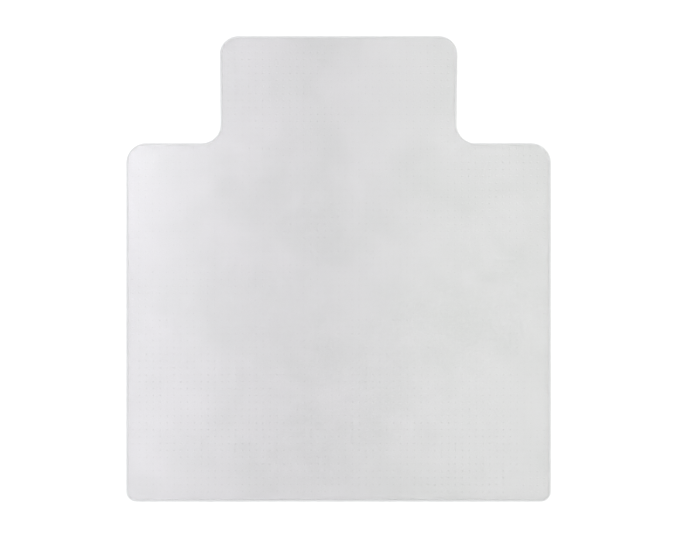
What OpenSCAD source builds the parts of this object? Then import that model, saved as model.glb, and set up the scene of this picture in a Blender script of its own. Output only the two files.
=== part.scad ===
// Carpet chair mat with a lip, lying flat on the tips of its cleats.
// +X runs to the right, +Y towards the lip that goes under the desk, and +Z up.
// The origin is on the floor, at the middle of the mat's overall width and length.

/* [Outline] */
// Width of the rolling area
body_w = 1220; // [1000:10:1500]
// Overall length, from the rear edge to the end of the lip
overall_l = 1338; // [1100:2:1600]
// Length of the lip, from the shoulders to its end
lip_l = 308; // [200:2:400]
// Width of the lip at its end
lip_w = 684; // [400:2:700]
// How far each side of the lip leans in from its end to its root
lip_lean = 4; // [0:1:12]

/* [Corners] */
// Radius of the two corners at the end of the lip
lip_r = 52; // [20:2:80]
// Radius of the two inside corners at the root of the lip
root_r = 56; // [20:2:80]
// Radius of the two shoulder corners
shoulder_r = 56; // [20:2:80]
// Radius of the two rear corners
rear_r = 28; // [16:2:80]

/* [Sheet section] */
// Thickness of the embossed wear surface
wear_t = 0.5; // [0.3:0.1:1]
// Thickness of the core of the sheet
core_t = 1.6; // [1:0.1:3]
// Thickness of the backing that carries the cleats
backing_t = 0.4; // [0.3:0.1:1]
// Width of the sloping edge
bevel_w = 5; // [3:0.5:10]
// Height of the sloping edge at its outer end
bevel_nose = 0.8; // [0.4:0.1:1.5]

/* [Cleats] */
// Length of a cleat below the backing
cleat_l = 4.5; // [3:0.5:8]
// Radius of a cleat where it joins the backing
cleat_base_r = 1.9; // [1.2:0.1:3]
// Radius of the flat tip that bites into the carpet
cleat_tip_r = 0.7; // [0.4:0.1:1.1]
// Distance between neighbouring cleats, along and across
cleat_pitch = 39.5; // [30:0.5:80]
// Least distance from a cleat's axis to the side of the backing
cleat_margin = 8; // [5:1:20]

/* [Hidden] */

// Heights of the layers, from the floor up
backing_z = cleat_l;
core_z = backing_z + backing_t;
wear_z = core_z + core_t;
top_z = wear_z + wear_t;

// Lines that the outline is hung on
half_w = body_w / 2;
lip_end = overall_l / 2;
rear = -overall_l / 2;
shoulder = lip_end - lip_l;

// Corners of the right side, going round anticlockwise: x, y, radius, and 1 outside or -1 inside
right_corners = [
  [half_w, rear, rear_r, 1],
  [half_w, shoulder, shoulder_r, 1],
  [lip_w / 2 - lip_lean, shoulder, root_r, -1],
  [lip_w / 2, lip_end, lip_r, 1],
];
right_last = len(right_corners) - 1;
left_corners = [for (i = [right_last : -1 : 0]) let(c = right_corners[i]) [-c.x, c.y, c[2], c[3]]];
corners = concat(right_corners, left_corners);
count = len(corners);
last = count - 1;

// The sloping edge is a strip of flat facets, one for this many degrees of each corner
facet_angle = 5;
// Sides of a full circle, round the outline's corners and round a cleat
corner_sides = 96;
cleat_sides = 24;

// Cleats stand in a square grid, whose rows are counted both ways from the line where the lip begins
grip_split = shoulder - bevel_w;
// The body's first row is a quarter of the pitch behind that line, and the lip's three quarters ahead
first_row = cleat_pitch / 4;
edge_strip = bevel_w + cleat_margin;
body_rows = floor((grip_split - first_row - rear - edge_strip) / cleat_pitch) + 1;
lip_rows = floor((lip_end - edge_strip - grip_split + first_row) / cleat_pitch);
// A cleat runs this far into the backing, so that the two are one solid
cleat_root = 0.1;
// Longer than the mat in every direction
beyond = 2 * max(body_w, overall_l);

function corner(i) = corners[(i + count) % count];
function point(i) = [corner(i).x, corner(i).y];
function side(i) = corner(i)[3];
function unit(v) = v / norm(v);
function along(i) = unit(point(i + 1) - point(i));
function inward(i) = [-along(i).y, along(i).x];
function bearing(i) = atan2(along(i).y, along(i).x);
function turn(i) = let(a = along(i - 1), b = along(i)) atan2(a.x * b.y - a.y * b.x, a * b);

// Radius of corner i on the outline drawn inset by the distance d
function radius(i, d) = corner(i)[2] - side(i) * d;

// Centre of corner i, which is the same for every inset
function centre(i) =
  let(r = side(i) * corner(i)[2], a = inward(i - 1), b = inward(i))
  point(i) + r * (a + b) / (1 + a * b);

// Where the outline meets the arc of corner i, and where it leaves it
function enter(i, d) = centre(i) - side(i) * radius(i, d) * inward(i - 1);
function leave(i, d) = centre(i) - side(i) * radius(i, d) * inward(i);

// The arc of corner i as points, one for each facet
function arc(i, d) =
  let(steps = ceil(abs(turn(i)) / facet_angle), start = bearing(i - 1) - 90)
  [for (k = [0 : steps])
    let(a = start + turn(i) * k / steps)
    centre(i) + side(i) * radius(i, d) * [cos(a), sin(a)]];
function loop(d, z) = [for (i = [0 : last]) for (p = arc(i, d)) [p.x, p.y, z]];

// True if p is not in the rounded-off part of corner i, or is well inside its arc
function clear_of(p, i) =
  let(v = p - centre(i))
  v * inward(i - 1) > 0 || v * inward(i) > 0 || norm(v) <= radius(i, edge_strip);
function clear_of_corners(p) =
  min([for (i = [0 : last]) side(i) < 0 || clear_of(p, i) ? 1 : 0]) > 0;

// The sheet's outline, drawn inset by the distance d, with true arcs
module outline(d) {
  difference() {
    union() {
      polygon([for (i = [0 : last]) each [enter(i, d), leave(i, d)]]);
      for (i = [0 : last]) if (side(i) > 0) translate(centre(i)) circle(r = radius(i, d), $fn = corner_sides);
    }
    for (i = [0 : last]) if (side(i) < 0) translate(centre(i)) circle(r = radius(i, d), $fn = corner_sides);
  }
}

// One layer of the sheet inside its sloping edge
module layer(z, thickness) {
  translate([0, 0, z]) linear_extrude(thickness) outline(bevel_w);
}

// A cleat, wide at the backing and narrow at the floor
module cleat() {
  cylinder(h = cleat_l + cleat_root, r1 = cleat_tip_r, r2 = cleat_base_r, $fn = cleat_sides);
}

// One row of cleats, centred on the middle of the mat, under a strip that is width wide
module cleat_row(y, width) {
  most = floor((width / 2 - edge_strip) / cleat_pitch);
  for (j = [-most : most]) {
    place = [j * cleat_pitch, y];
    if (clear_of_corners(place)) translate(place) cleat();
  }
}

module wear_surface() {
  color("whitesmoke") layer(wear_z, wear_t);
}

module core_sheet() {
  color("gainsboro") layer(core_z, core_t);
}

// Closed ring round the sheet: flat below, upright at its nose, and sloping up to the wear surface
module bevelled_edge() {
  rings = [
    loop(0, backing_z),
    loop(0, backing_z + bevel_nose),
    loop(bevel_w, top_z),
    loop(bevel_w, backing_z),
  ];
  n = len(rings[0]);
  ring_count = len(rings);
  faces = [for (s = [0 : ring_count - 1]) for (k = [0 : n - 1])
    let(next = (k + 1) % n, over = ((s + 1) % ring_count) * n, here = s * n)
    each [[here + k, over + k, over + next], [here + k, over + next, here + next]]];
  color("lightgray") polyhedron([for (ring = rings) each ring], faces);
}

module body_grip() {
  color("silver") {
    intersection() {
      layer(backing_z, backing_t);
      translate([-beyond / 2, grip_split - beyond, 0]) cube([beyond, beyond, beyond]);
    }
    for (k = [0 : body_rows - 1]) cleat_row(grip_split - first_row - k * cleat_pitch, body_w);
  }
}

module lip_grip() {
  color("silver") {
    intersection() {
      layer(backing_z, backing_t);
      translate([-beyond / 2, grip_split, 0]) cube([beyond, beyond, beyond]);
    }
    for (k = [1 : lip_rows]) cleat_row(grip_split - first_row + k * cleat_pitch, lip_w - 2 * lip_lean);
  }
}

wear_surface();
core_sheet();
bevelled_edge();
body_grip();
lip_grip();
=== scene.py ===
"""Looks of a lipped carpet chair mat in translucent vinyl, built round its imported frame."""

import math

import bpy
import numpy as np
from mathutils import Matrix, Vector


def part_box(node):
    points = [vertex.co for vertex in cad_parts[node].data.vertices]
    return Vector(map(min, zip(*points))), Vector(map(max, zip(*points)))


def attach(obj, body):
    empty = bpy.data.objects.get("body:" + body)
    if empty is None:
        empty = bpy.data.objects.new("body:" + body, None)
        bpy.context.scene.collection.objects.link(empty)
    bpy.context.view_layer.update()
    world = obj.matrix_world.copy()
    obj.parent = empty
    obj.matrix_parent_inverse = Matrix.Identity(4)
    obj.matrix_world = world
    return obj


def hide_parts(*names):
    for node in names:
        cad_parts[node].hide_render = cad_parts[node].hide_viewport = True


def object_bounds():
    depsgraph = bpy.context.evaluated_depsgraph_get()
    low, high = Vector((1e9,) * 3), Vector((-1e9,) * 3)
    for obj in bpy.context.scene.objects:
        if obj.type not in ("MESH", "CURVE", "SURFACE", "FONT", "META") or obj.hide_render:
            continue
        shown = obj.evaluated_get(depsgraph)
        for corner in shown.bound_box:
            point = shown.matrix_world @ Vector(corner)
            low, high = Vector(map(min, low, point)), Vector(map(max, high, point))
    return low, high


bl_info = {
    "name": "Chair Mat",
    "version": (1, 0, 0),
    "blender": (4, 5, 0),
    "location": "3D View > Sidebar > Chair Mat",
    "description": "Builds a translucent lipped chair mat, its cleats and a plain studio",
    "category": "Add Mesh",
}

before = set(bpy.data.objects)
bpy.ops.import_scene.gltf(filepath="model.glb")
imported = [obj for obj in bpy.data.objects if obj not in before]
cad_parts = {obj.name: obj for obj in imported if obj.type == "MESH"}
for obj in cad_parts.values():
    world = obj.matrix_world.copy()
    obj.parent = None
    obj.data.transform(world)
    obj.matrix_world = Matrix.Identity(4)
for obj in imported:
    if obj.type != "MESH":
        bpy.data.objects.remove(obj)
CAD_BOX = [list(corner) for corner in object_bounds()]

EDGE_LOW, EDGE_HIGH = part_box("bevelled_edge")
SHEET_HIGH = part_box("wear_surface")[1]
GRIP_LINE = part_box("lip_grip")[0][1]
SLOPE_WIDTH = EDGE_HIGH[0] - SHEET_HIGH[0]
MAT_WIDTH = EDGE_HIGH[0] - EDGE_LOW[0]
MAT_LENGTH = EDGE_HIGH[1] - EDGE_LOW[1]
TOP = EDGE_HIGH[2]
UNDERSIDE = EDGE_LOW[2]
# The two grips meet one slope's width behind the shoulders of the outline
SHOULDER = GRIP_LINE + SLOPE_WIDTH
MM = 0.001
# Gap that keeps the faces of two pieces from coinciding
CLEARANCE = 0.05 * MM

# Corners of the outline, and the largest turn of one facet of their arcs
CORNERS = 8
ARC_STEP = math.radians(3)
# Steps across the sheet, and points round the nose, along the slope and over the crest of the edge
SLAB_COLUMNS = 24
NOSE_POINTS = 4
SLOPE_POINTS = 5
CREST_POINTS = 6

# A cleat's root reaches this far into the core, and its radius is this many base radii
ROOT_DEPTH = 0.1 * MM
FLARE = 1.2
# Height of the flare, and the radius at its foot as a share of the base radius
FLARE_HEIGHT = 0.5 * MM
NECK_SHARE = 0.94
# Height over which the tip is rounded, and the radius of its flat end as a share of the tip radius
TIP_HEIGHT = 0.25 * MM
TIP_SHARE = 0.75
# A cleat is an octagon in plan, and these four-sided faces close the lower end of one
CLEAT_SIDES = 8
OCTAGON = np.array([[3, 2, 1, 0], [7, 4, 3, 0], [7, 6, 5, 4]])

# Values of the slow noise between which the vinyl turns from clear to milky
CLOUD_LOW, CLOUD_HIGH = 0.35, 0.7
# Shares of the clouds and of the pebbles in how milky the top is
CLOUD_PART, DOME_PART = 0.65, 0.35
# Size of the smoother and rougher patches of the top, in pebbles
PATCH_PEBBLES = 5
# Size and depth of the marks of the cut along the edge, and of the flow marks in the cleats
CUT_SIZE, CUT_DEPTH = 4 * MM, 0.02 * MM
FLOW_SIZE, FLOW_DEPTH = 1.5 * MM, 0.03 * MM
# The cleats bend light less than vinyl does, or each of them would be a dark dot from above
VINYL_IOR = 1.5
CLEAT_IOR = 1.15

FLOOR_SIZE = 40.0
FLOOR_HEIGHT = CAD_BOX[0][2] - CLEARANCE
# The middle of each soft light, in metres from the mat's origin, then its width and length
KEY_PLACE, KEY_SIZE = (-1.14, 0.2, 3.0), (0.92, 3.0)
CORNER_PLACE, CORNER_SIZE = (-1.25, 0.9, 2.98), (0.7, 1.2)
FILL_PLACE, FILL_SIZE = (0.865, 0.1, 3.0), (1.27, 3.0)


# ---------------------------------------------------------------- sizes and colours


def length(name, description, default):
    """A length in metres that a user may change, shown with four decimals."""
    return bpy.props.FloatProperty(
        name=name, description=description, default=default, min=0.0, precision=4, unit="LENGTH"
    )


def share(name, description, default, most=1.0):
    """A plain number from 0 to most."""
    return bpy.props.FloatProperty(
        name=name, description=description, default=default, min=0.0, max=most, precision=3
    )


def colour(name, description, default):
    """A linear colour with no alpha."""
    return bpy.props.FloatVectorProperty(
        name=name, description=description, default=default, min=0.0, max=1.0, subtype="COLOR"
    )


class MatOutline(bpy.types.PropertyGroup):
    """Sizes of the outline that the frame's boxes don't give."""

    lip_width: length("Lip width", "Width of the lip at its end", 684 * MM)
    lip_lean: length("Lip lean", "How far each side of the lip leans in towards its root", 4 * MM)
    lip_radius: length("Lip corners", "Radius of the corners at the end of the lip", 52 * MM)
    root_radius: length("Root corners", "Radius of the inside corners beside the lip", 56 * MM)
    shoulder_radius: length("Shoulder corners", "Radius of the shoulder corners", 56 * MM)
    rear_radius: length("Rear corners", "Radius of the rear corners", 28 * MM)
    run_step: length("Run step", "Longest step along a straight side", 24 * MM)


class MatEdge(bpy.types.PropertyGroup):
    """The section of the sloping edge."""

    nose: length("Nose height", "Height of the upright face at the foot of the slope", 0.8 * MM)
    rounding: length("Rounding", "Radius that rounds the nose", 0.3 * MM)
    crest: length("Crest", "Length over which the slope rounds into the top", 1.2 * MM)


class MatCleats(bpy.types.PropertyGroup):
    """The cleats that grip the carpet."""

    pitch: length("Pitch", "Distance between neighbouring cleats", 19.75 * MM)
    base_radius: length("Base radius", "Radius where a cleat joins the sheet", 1.9 * MM)
    tip_radius: length("Tip radius", "Radius of the blunt tip", 0.7 * MM)
    margin: length("Margin", "Least distance from a cleat's axis to the sloping edge", 8 * MM)


class MatVinyl(bpy.types.PropertyGroup):
    """The finish of the translucent vinyl."""

    tint: colour("Tint", "Colour of the vinyl", (0.806, 0.797, 0.81))
    haze: colour("Haze", "Colour of the slightly milkier patches", (0.829, 0.824, 0.831))
    # Both edge colours sit well below the sheet's tint: partly the trimmed edge's duller tone,
    # partly painted shade for the dark line along the slope
    edge_tint_and_shade: colour("Edge tint", "Colour of the trimmed edge", (0.65, 0.646, 0.66))
    edge_marks_and_shade: colour("Edge marks", "Colour of the faint marks on the edge", (0.68, 0.676, 0.69))
    cleat_tint: colour("Cleat tint", "Colour of the cleats", (0.97, 0.969, 0.972))
    cleat_marks: colour("Cleat marks", "Colour of the flow marks in the cleats", (1.0, 1.0, 1.0))
    clearness: share("Clearness", "Share of the light that passes into the top and cleats", 1.0)
    edge_clearness: share("Edge clearness", "Share of the light that passes into the edge", 0.2)
    haze_share: share("Haze share", "Share of the light that the core scatters", 0.15)
    haze_spread: share("Haze spread", "How much more the milky patches scatter", 0.1)
    roughness: share("Roughness", "Roughness of the embossed top", 0.2)
    edge_roughness: share("Edge roughness", "Roughness of the trimmed edge and the cleats", 0.28)
    pebble: length("Pebble", "Size of one pebble of the emboss", 1.8 * MM)
    pebble_depth: length("Pebble depth", "Depth of the emboss", 0.07 * MM)
    wave: length("Wave", "Length of the slow waves that a rolled sheet keeps", 300 * MM)
    wave_depth: length("Wave depth", "Depth of the slow waves", 1.2 * MM)


class MatStudio(bpy.types.PropertyGroup):
    """The floor, the lights and the camera."""

    floor: colour("Floor", "Colour of the floor", (0.93, 0.93, 0.93))
    camera_height: length("Camera height", "Height of the camera above the floor", 4.2)
    view_width: share("View width", "Width of the view, in widths of the mat", 1.647, 4.0)
    view_right: share("View right", "How far right of the mat the camera stands, in widths", 0.026)
    view_up: share("View up", "How far towards the lip the camera stands, in widths", 0.0055)
    sky: share("Sky", "Strength of the even light from all round", 1.05, 4.0)
    key: share("Key", "Power of the light at the left, in watts", 22.0, 2000.0)
    corner: share("Corner", "Power of the small light at the upper left, in watts", 6.5, 2000.0)
    fill: share("Fill", "Power of the light at the right, in watts", 17.0, 2000.0)
    key_colour: colour("Key colour", "Colour of the lights at the left", (0.94, 0.935, 1.0))
    fill_colour: colour("Fill colour", "Colour of the light at the right", (0.88, 1.0, 0.82))


class MatSettings(bpy.types.PropertyGroup):
    """All the settings of the mat."""

    outline: bpy.props.PointerProperty(type=MatOutline)
    edge: bpy.props.PointerProperty(type=MatEdge)
    cleats: bpy.props.PointerProperty(type=MatCleats)
    vinyl: bpy.props.PointerProperty(type=MatVinyl)
    studio: bpy.props.PointerProperty(type=MatStudio)


GROUP_NAMES = {
    MatOutline: "outline",
    MatEdge: "edge",
    MatCleats: "cleats",
    MatVinyl: "vinyl",
    MatStudio: "studio",
}


# ---------------------------------------------------------------- shader maths


class Wire:
    """An output socket of a material. Arithmetic on it adds the Math nodes that work it out."""

    def __init__(self, socket):
        self.socket = socket

    def made(self, operation, first, second):
        """The wire of a new Math node that works on two wires or numbers."""
        tree = self.socket.id_data
        node = tree.nodes.new("ShaderNodeMath")
        node.operation = operation
        for slot, value in zip(node.inputs, (first, second)):
            if isinstance(value, Wire):
                tree.links.new(value.socket, slot)
            else:
                slot.default_value = value
        return Wire(node.outputs[0])

    def __add__(self, other):
        return self.made("ADD", self, other)

    def __mul__(self, other):
        return self.made("MULTIPLY", self, other)

    def __rsub__(self, other):
        return self.made("SUBTRACT", other, self)


class Paint:
    """A node material being made."""

    def __init__(self, name):
        self.material = bpy.data.materials.new(name)
        self.material.use_nodes = True
        self.tree = self.material.node_tree
        self.tree.nodes.clear()

    def node(self, kind, modes=None, **inputs):
        """Adds a node: first its modes, then its sockets by name, with _ for a space."""
        node = self.tree.nodes.new("ShaderNode" + kind)
        for name, value in (modes or {}).items():
            setattr(node, name, value)
        for name, value in inputs.items():
            slot = node.inputs[name.replace("_", " ")]
            if isinstance(value, Wire):
                self.tree.links.new(value.socket, slot)
            else:
                slot.default_value = value
        return node

    def noise(self, place, size, flat=True, **inputs):
        """Smooth noise with features about size metres long, the same at every height if flat."""
        modes = {"noise_dimensions": "2D" if flat else "3D"}
        return Wire(self.node("TexNoise", modes, Vector=place, Scale=1 / size, **inputs).outputs[0])

    def ramp(self, wire, low, high):
        """0 below low and 1 above high, straight between."""
        return Wire(self.node("MapRange", Value=wire, From_Min=low, From_Max=high).outputs[0])

    def clouds(self, place, size):
        """0 in the clear patches and 1 in the milky ones, which are about size metres long."""
        slow = self.noise(place, size, Detail=3.0, Roughness=0.45)
        return self.ramp(slow, CLOUD_LOW, CLOUD_HIGH)

    def bumps(self, height):
        """The normal tipped by a height in metres."""
        return Wire(self.node("Bump", Height=height, Strength=1.0, Distance=1.0).outputs["Normal"])

    def mixed(self, share_of_second, first, second):
        """A colour between two colours."""
        node = self.node("Mix", {"data_type": "RGBA"}, Factor=share_of_second)
        node.inputs[6].default_value = (*first, 1.0)
        node.inputs[7].default_value = (*second, 1.0)
        return Wire(node.outputs[2])

    def finish(self, **sockets):
        """Ends the material in one Principled shader."""
        shader = self.node("BsdfPrincipled", **sockets)
        self.node("OutputMaterial", Surface=Wire(shader.outputs["BSDF"]))
        return self.material


def place_wire(paint):
    """The place in the mat's own frame, in metres."""
    return Wire(paint.node("TexCoord").outputs["Object"])


def around(middle, wire, spread):
    """A value from half the spread below the middle, where the wire is 0, to half above at 1."""
    return wire * spread + (middle - spread / 2)


def sheet_vinyl(vinyl):
    """Frosted vinyl with an embossed top.

    The colour moves between the tint and the milkier haze, mostly with slow noise and partly with
    the pebbles. The normal is tipped by the pebbles, domes that fall by the square of the distance
    to the middle of a cell, laid over the slow waves of a sheet that was once rolled up.
    """
    paint = Paint("sheet_vinyl")
    place = place_wire(paint)
    cloud = paint.clouds(place, vinyl.wave)
    fine = paint.noise(place, vinyl.pebble * PATCH_PEBBLES, Detail=2.0)
    flat = {"voronoi_dimensions": "2D"}
    cells = paint.node("TexVoronoi", flat, Vector=place, Scale=1 / vinyl.pebble)
    reach = Wire(cells.outputs["Distance"])
    dome = 1 - reach * reach
    waves = paint.noise(place, vinyl.wave, Detail=1.0) * vinyl.wave_depth
    milky = cloud * CLOUD_PART + dome * DOME_PART
    return paint.finish(
        Base_Color=paint.mixed(milky, vinyl.tint, vinyl.haze),
        Roughness=around(vinyl.roughness, fine, spread=0.1),
        Transmission_Weight=vinyl.clearness,
        IOR=VINYL_IOR,
        Normal=paint.bumps(dome * vinyl.pebble_depth + waves),
    )


def core_vinyl(vinyl):
    """The milky body of the sheet, as a thin haze that lets most of the light straight through."""
    paint = Paint("core_vinyl")
    cloud = paint.clouds(place_wire(paint), vinyl.wave)
    return paint.finish(
        Base_Color=paint.mixed(cloud, vinyl.tint, vinyl.haze),
        Roughness=0.6,
        Specular_IOR_Level=0.0,
        Alpha=cloud * vinyl.haze_spread + vinyl.haze_share,
    )


def edge_vinyl(vinyl):
    """The trimmed slope, more solid than the sheet, with faint marks of the cut. Its colours are
    darker than the sheet's: partly the duller tone of the trimmed vinyl, partly painted shade for
    the dark line along the slope.
    """
    paint = Paint("edge_vinyl")
    marks = paint.noise(place_wire(paint), CUT_SIZE, Detail=2.0)
    return paint.finish(
        # Painted shade in part: these darker colours give the dark line along the sloping edge
        Base_Color=paint.mixed(marks, vinyl.edge_tint_and_shade, vinyl.edge_marks_and_shade),
        Roughness=around(vinyl.edge_roughness, marks, spread=0.06),
        Transmission_Weight=vinyl.edge_clearness,
        IOR=VINYL_IOR,
        Normal=paint.bumps(marks * CUT_DEPTH),
    )


def cleat_vinyl(vinyl):
    """The moulded cleats, clearer than the sheet, with faint flow marks."""
    paint = Paint("cleat_vinyl")
    flow = paint.noise(place_wire(paint), FLOW_SIZE, flat=False, Detail=1.0)
    return paint.finish(
        Base_Color=paint.mixed(flow, vinyl.cleat_tint, vinyl.cleat_marks),
        Roughness=around(vinyl.edge_roughness, flow, spread=0.1),
        Transmission_Weight=vinyl.clearness,
        IOR=CLEAT_IOR,
        Normal=paint.bumps(flow * FLOW_DEPTH),
    )


# ---------------------------------------------------------------- meshes


def mesh_object(name, points, quads, material, smooth=True):
    """A piece from points and faces, which all have the same number of corners."""
    mesh = bpy.data.meshes.new(name)
    count, corners = quads.shape
    mesh.vertices.add(len(points))
    mesh.vertices.foreach_set("co", np.ascontiguousarray(points, dtype=np.float32).ravel())
    mesh.loops.add(count * corners)
    mesh.loops.foreach_set("vertex_index", quads.astype(np.int32).ravel())
    mesh.polygons.add(count)
    mesh.polygons.foreach_set("loop_start", np.arange(0, count * corners, corners, dtype=np.int32))
    mesh.polygons.foreach_set("use_smooth", np.full(count, smooth))
    mesh.update(calc_edges=True)
    mesh.validate()
    mesh.materials.append(material)
    piece = bpy.data.objects.new(name, mesh)
    bpy.context.scene.collection.objects.link(piece)
    return piece


def grid_quads(rows, columns, closed_rows=False, closed_columns=False):
    """The faces of a grid of points numbered row by row, joined round where a side is closed."""
    r = np.arange(rows if closed_rows else rows - 1)[:, None]
    c = np.arange(columns if closed_columns else columns - 1)[None, :]
    r_next = (r + 1) % rows
    c_next = (c + 1) % columns
    a = r * columns + c
    b = r * columns + c_next
    d = r_next * columns + c
    e = r_next * columns + c_next
    return np.stack([a, b, e, d], axis=-1).reshape(-1, 4)


def unit(v):
    """Each vector scaled to a length of 1."""
    return v / np.linalg.norm(v, axis=-1, keepdims=True)


class Outline:
    """The mat's outline, walked anticlockwise from the rear right corner.

    Each corner is a point, a radius and a side: 1 where the mat is inside the arc, -1 where the
    arc is an inside corner. An arc's centre stays put when the outline is drawn inset, so every
    inset of the outline has the same number of points.
    """

    def __init__(self, sizes):
        half = MAT_WIDTH / 2
        right = [
            (half, EDGE_LOW[1], sizes.rear_radius, 1),
            (half, SHOULDER, sizes.shoulder_radius, 1),
            (sizes.lip_width / 2 - sizes.lip_lean, SHOULDER, sizes.root_radius, -1),
            (sizes.lip_width / 2, EDGE_HIGH[1], sizes.lip_radius, 1),
        ]
        corners = np.array(right + [(-x, y, r, s) for x, y, r, s in reversed(right)])
        points, self.radii, self.sides = corners[:, :2], corners[:, 2], corners[:, 3]
        ahead = unit(np.roll(points, -1, axis=0) - points)
        behind = np.roll(ahead, 1, axis=0)
        self.in_after = np.stack([-ahead[:, 1], ahead[:, 0]], axis=1)
        self.in_before = np.roll(self.in_after, 1, axis=0)
        reach = self.sides * self.radii / (1 + (self.in_after * self.in_before).sum(1))
        self.centres = points + reach[:, None] * (self.in_after + self.in_before)
        cross = behind[:, 0] * ahead[:, 1] - behind[:, 1] * ahead[:, 0]
        self.turns = np.arctan2(cross, (behind * ahead).sum(1))
        # An inside corner's arc starts this way too, because its reach is negative
        self.starts = np.arctan2(-self.in_before[:, 1], -self.in_before[:, 0])
        self.run_step = sizes.run_step

    def walk(self, inset, first=0, last=CORNERS - 1):
        """The outline drawn inset, from the arc of one corner to the arc of another.

        A corner's arc is its centre plus its radius times a direction that turns evenly, and
        the side after it is cut into equal steps. The radius of an outside corner shrinks by
        the inset, and that of an inside corner grows by it.
        """
        reach = self.sides * self.radii - inset
        all_round = last - first == CORNERS - 1
        places = []
        for i in range(first, last + 1):
            steps = math.ceil(abs(self.turns[i]) / ARC_STEP)
            angles = self.starts[i] + np.linspace(0, self.turns[i], steps + 1)
            out = np.stack([np.cos(angles), np.sin(angles)], axis=1)
            arc = self.centres[i] + reach[i] * out
            places.append(arc)
            if i < last or all_round:
                n = (i + 1) % CORNERS
                gap = self.centres[n] - reach[n] * self.in_before[n] - arc[-1]
                steps = math.ceil(np.linalg.norm(gap) / self.run_step)
                places.append(arc[-1] + np.linspace(0, 1, steps + 1)[1:-1, None] * gap)
        return np.concatenate(places)

    def depth(self, places):
        """How far inside the outline each place is, or less than 0 outside it.

        It is the least distance to any of the outline's segments, with the sign of the side of
        the nearest one on which the place lies.
        """
        start = self.walk(0.0)
        along = np.roll(start, -1, axis=0) - start
        gap = places[:, None] - start
        share_along = np.clip((gap * along).sum(-1) / (along**2).sum(-1), 0, 1)
        far = np.linalg.norm(gap - share_along[..., None] * along, axis=-1)
        nearest = far.argmin(axis=1)
        near_gap = gap[np.arange(len(places)), nearest]
        near_along = along[nearest]
        left = near_along[:, 0] * near_gap[:, 1] - near_along[:, 1] * near_gap[:, 0]
        return np.where(left > 0, 1, -1) * far.min(axis=1)


def slab(name, outline, inset, low, high, material):
    """A flat closed sheet that fills the outline drawn inset, from one height to another.

    A point is worked out from t, the way up the right side of the outline, and s, from -1 on
    the left to 1 on the right. Its x is s times the outline's x. Its y moves from a line up the
    middle to the outline's y by the square of s, and the line's y grows evenly with t.
    """
    right = outline.walk(inset, last=CORNERS // 2 - 1)
    steps = np.linalg.norm(np.diff(right, axis=0), axis=1)
    t = np.concatenate([[0], np.cumsum(steps)]) / steps.sum()
    s = np.linspace(-1, 1, SLAB_COLUMNS + 1)
    middle = right[0, 1] + t * (right[-1, 1] - right[0, 1])
    x = right[:, :1] * s
    y = middle[:, None] * (1 - s**2) + right[:, 1:] * s**2
    flat = np.stack([x, y], axis=-1).reshape(-1, 2)
    grid = np.arange(len(flat)).reshape(x.shape)
    rim = np.concatenate([grid[0, :-1], grid[:-1, -1], grid[-1, :0:-1], grid[:0:-1, 0]])
    top = grid_quads(*x.shape)
    below = len(flat)
    wall = np.stack([rim, rim + below, np.roll(rim, -1) + below, np.roll(rim, -1)], axis=1)
    points = np.concatenate([np.c_[flat, np.full(below, high)], np.c_[flat, np.full(below, low)]])
    faces = np.concatenate([top, top[:, ::-1] + below, wall])
    return mesh_object(name, points, faces, material, smooth=False)


def edge_section(sizes):
    """The closed section of the edge, as insets and heights.

    It goes round the foot of the nose by a quarter turn of a small circle, round its upper corner
    and over the crest by parabolas that leave and arrive in line with what they join, up the
    slope between them, and down the inner wall.
    """
    low = UNDERSIDE
    r = sizes.rounding
    turn = np.radians(np.linspace(0, 90, NOSE_POINTS))
    foot = np.c_[r - r * np.sin(turn), low + r - r * np.cos(turn)]
    slope_end = np.array([SLOPE_WIDTH - sizes.crest / 2, TOP])
    nose = np.array([0.0, low + sizes.nose])
    way = unit(slope_end - nose)
    nose_bend = curve(nose - [0, r], nose, nose + r * way, NOSE_POINTS)
    wall = np.array([SLOPE_WIDTH, TOP])
    crest = curve(slope_end - way * sizes.crest / 2, slope_end, wall, CREST_POINTS)
    inner_steps = np.linspace(0, 1, SLOPE_POINTS)[1:-1, None]
    slope = nose_bend[-1] + inner_steps * (crest[0] - nose_bend[-1])
    return np.concatenate([foot, nose_bend, slope, crest, [[SLOPE_WIDTH, low]]])


def curve(start, pull, end, count):
    """Points along a parabola from start to end that is pulled towards a third point."""
    t = np.linspace(0, 1, count)[:, None]
    return (1 - t) ** 2 * start + 2 * t * (1 - t) * pull + t**2 * end


def cleat_places(outline, sizes):
    """The places of a square grid that are far enough inside the outline.

    The rows are counted both ways from the line where the lip begins, which is half way
    between two rows, and the columns from the middle of the mat.
    """
    most = math.ceil(max(MAT_WIDTH, MAT_LENGTH) / sizes.pitch)
    steps = np.arange(-most, most + 1) * sizes.pitch
    x, y = np.meshgrid(steps, steps + GRIP_LINE - sizes.pitch / 2)
    places = np.stack([x.ravel(), y.ravel()], axis=1)
    in_box = (abs(places[:, 0]) < EDGE_HIGH[0]) & (abs(places[:, 1]) < EDGE_HIGH[1])
    places = places[in_box]
    return places[outline.depth(places) >= SLOPE_WIDTH + sizes.margin]


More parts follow.
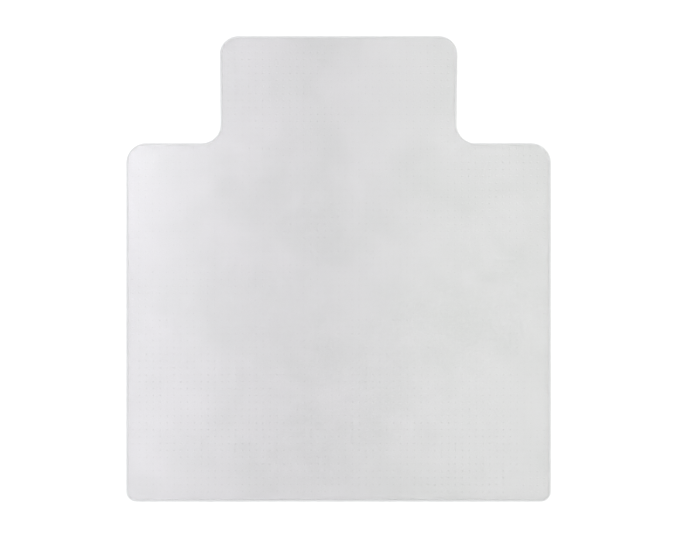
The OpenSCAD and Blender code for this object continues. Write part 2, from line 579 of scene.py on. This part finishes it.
def cleat_shapes(places, sizes):
    """One closed cleat at each place.

    A cleat is a profile turned round its own axis in eight steps: a blunt tip with a small
    rounding, a straight taper and a flare at the root. Three faces close each of its two ends.
    """
    root = UNDERSIDE + ROOT_DEPTH
    tip, base = sizes.tip_radius, sizes.base_radius
    radii = np.array([tip * TIP_SHARE, tip, base * NECK_SHARE, base * FLARE])
    heights = np.array([0.0, TIP_HEIGHT, root - FLARE_HEIGHT, root])
    rings = len(radii)
    angles = np.arange(CLEAT_SIDES) * 2 * math.pi / CLEAT_SIDES
    way = np.stack([np.cos(angles), np.sin(angles)], axis=1)
    flat = (radii[:, None, None] * way).reshape(-1, 2)
    shape = np.c_[flat, np.repeat(heights, CLEAT_SIDES)]
    side = grid_quads(rings, CLEAT_SIDES, closed_columns=True)
    upper_end = OCTAGON[:, ::-1] + CLEAT_SIDES * (rings - 1)
    faces = np.concatenate([side, OCTAGON, upper_end])
    points = shape[None] + np.c_[places, np.zeros(len(places))][:, None]
    every = faces[None] + (np.arange(len(places)) * len(shape))[:, None, None]
    return points.reshape(-1, 3), every.reshape(-1, 4)


# ---------------------------------------------------------------- pieces


def settings(context):
    """The mat's settings, which the scene holds."""
    return context.scene.chair_mat


def hand_over(piece, slot, *nodes):
    """Fixes a finished piece to the mat's body, in place of the frame's own solids."""
    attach(piece, "root")
    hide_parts(*nodes)


class CHAIRMAT_OT_wear_skin(bpy.types.Operator):
    """Make the embossed top of the sheet"""

    bl_idname = "chair_mat.wear_skin"
    bl_label = "Wear skin"

    def execute(self, context):
        mat = settings(context)
        low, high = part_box("wear_surface")
        skin = slab(
            "wear_skin", Outline(mat.outline), SLOPE_WIDTH + CLEARANCE,
            low[2] + CLEARANCE, high[2], sheet_vinyl(mat.vinyl),
        )
        hand_over(skin, "wear_vinyl", "wear_surface")
        return {"FINISHED"}


class CHAIRMAT_OT_core(bpy.types.Operator):
    """Make the hazy core of the sheet, which reaches down to the roots of the cleats"""

    bl_idname = "chair_mat.core"
    bl_label = "Core"

    def execute(self, context):
        mat = settings(context)
        core = slab(
            "core", Outline(mat.outline), SLOPE_WIDTH + CLEARANCE,
            UNDERSIDE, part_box("core_sheet")[1][2], core_vinyl(mat.vinyl),
        )
        hand_over(core, "core_vinyl", "core_sheet")
        return {"FINISHED"}


class CHAIRMAT_OT_edge(bpy.types.Operator):
    """Make the sloping edge that runs round the sheet"""

    bl_idname = "chair_mat.edge"
    bl_label = "Sloping edge"

    def execute(self, context):
        mat = settings(context)
        outline = Outline(mat.outline)
        rings = []
        for inset, height in edge_section(mat.edge):
            ring = outline.walk(inset)
            rings.append(np.c_[ring, np.full(len(ring), height)])
        points = np.stack(rings)
        faces = grid_quads(*points.shape[:2], closed_rows=True, closed_columns=True)
        edge = mesh_object("edge_slope", points.reshape(-1, 3), faces, edge_vinyl(mat.vinyl))
        hand_over(edge, "edge_vinyl", "bevelled_edge")
        return {"FINISHED"}


class CHAIRMAT_OT_cleats(bpy.types.Operator):
    """Make the cleats under the body and under the lip"""

    bl_idname = "chair_mat.cleats"
    bl_label = "Cleats"

    def execute(self, context):
        mat = settings(context)
        places = cleat_places(Outline(mat.outline), mat.cleats)
        under_lip = places[:, 1] > GRIP_LINE
        material = cleat_vinyl(mat.vinyl)
        for name, node, chosen in (
            ("body_cleats", "body_grip", ~under_lip),
            ("lip_cleats", "lip_grip", under_lip),
        ):
            points, faces = cleat_shapes(places[chosen], mat.cleats)
            hand_over(mesh_object(name, points, faces, material), "grip_vinyl", node)
        return {"FINISHED"}


class CHAIRMAT_OT_studio(bpy.types.Operator):
    """Make the floor, the soft lights and the overhead camera"""

    bl_idname = "chair_mat.studio"
    bl_label = "Studio"

    def execute(self, context):
        studio = settings(context).studio
        scene = context.scene
        scene.view_settings.view_transform = "Standard"
        # The default filter takes away half of the light that comes through rough clear layers
        scene.cycles.blur_glossy = 0.0
        lay_floor(studio)
        even_light(scene, studio)
        softbox("key_light", KEY_PLACE, KEY_SIZE, studio.key, studio.key_colour)
        softbox("corner_light", CORNER_PLACE, CORNER_SIZE, studio.corner, studio.key_colour)
        softbox("fill_light", FILL_PLACE, FILL_SIZE, studio.fill, studio.fill_colour)
        overhead_camera(scene, studio)
        return {"FINISHED"}


def overhead_camera(scene, studio):
    """A camera that looks straight down and sees view_width widths of the mat's top."""
    data = bpy.data.cameras.new("overhead")
    seen = studio.view_width * MAT_WIDTH
    data.lens = data.sensor_width * (studio.camera_height - TOP) / seen
    camera = bpy.data.objects.new("overhead", data)
    right, up = studio.view_right * MAT_WIDTH, studio.view_up * MAT_WIDTH
    camera.location = (right, up, studio.camera_height)
    scene.collection.objects.link(camera)
    scene.camera = camera


def lay_floor(studio):
    """A wide plain floor just below the tips of the cleats."""
    paint = Paint("floor")
    floor = paint.finish(Base_Color=(*studio.floor, 1.0), Roughness=0.9, Specular_IOR_Level=0.1)
    half = FLOOR_SIZE / 2
    corners = np.array([(-half, -half), (half, -half), (half, half), (-half, half)])
    points = np.c_[corners, np.full(4, FLOOR_HEIGHT)]
    mesh_object("floor", points, np.array([[0, 1, 2, 3]]), floor, smooth=False)


def even_light(scene, studio):
    """The same soft light from every side."""
    world = bpy.data.worlds.new("studio")
    world.use_nodes = True
    background = world.node_tree.nodes["Background"]
    background.inputs["Color"].default_value = (1.0, 1.0, 1.0, 1.0)
    background.inputs["Strength"].default_value = studio.sky
    scene.world = world


def softbox(name, place, size, watts, tone):
    """A light of the given width and length that hangs level and faces the floor."""
    data = bpy.data.lights.new(name, "AREA")
    data.shape = "RECTANGLE"
    data.size, data.size_y = size
    data.energy = watts
    data.color = tone
    light = bpy.data.objects.new(name, data)
    light.location = place
    bpy.context.scene.collection.objects.link(light)


# ---------------------------------------------------------------- add-on

OPERATORS = (
    CHAIRMAT_OT_wear_skin,
    CHAIRMAT_OT_core,
    CHAIRMAT_OT_edge,
    CHAIRMAT_OT_cleats,
    CHAIRMAT_OT_studio,
)


class CHAIRMAT_PT_panel(bpy.types.Panel):
    """The settings and the steps of the chair mat"""

    bl_idname = "CHAIRMAT_PT_panel"
    bl_label = "Chair Mat"
    bl_space_type = "VIEW_3D"
    bl_region_type = "UI"
    bl_category = "Chair Mat"

    def draw(self, context):
        mat = settings(context)
        for group, group_name in GROUP_NAMES.items():
            box = self.layout.box()
            held = getattr(mat, group_name)
            for name in group.__annotations__:
                box.prop(held, name)
        for operator in OPERATORS:
            self.layout.operator(operator.bl_idname)


CLASSES = (*GROUP_NAMES, MatSettings, *OPERATORS, CHAIRMAT_PT_panel)


def register():
    for each in CLASSES:
        bpy.utils.register_class(each)
    bpy.types.Scene.chair_mat = bpy.props.PointerProperty(type=MatSettings)


def unregister():
    del bpy.types.Scene.chair_mat
    for each in reversed(CLASSES):
        bpy.utils.unregister_class(each)


def main():
    """Builds every piece, then the studio."""
    register()
    bpy.ops.chair_mat.wear_skin()
    bpy.ops.chair_mat.core()
    bpy.ops.chair_mat.edge()
    bpy.ops.chair_mat.cleats()
    bpy.ops.chair_mat.studio()
    bpy.context.view_layer.update()


if __name__ == "__main__":
    main()
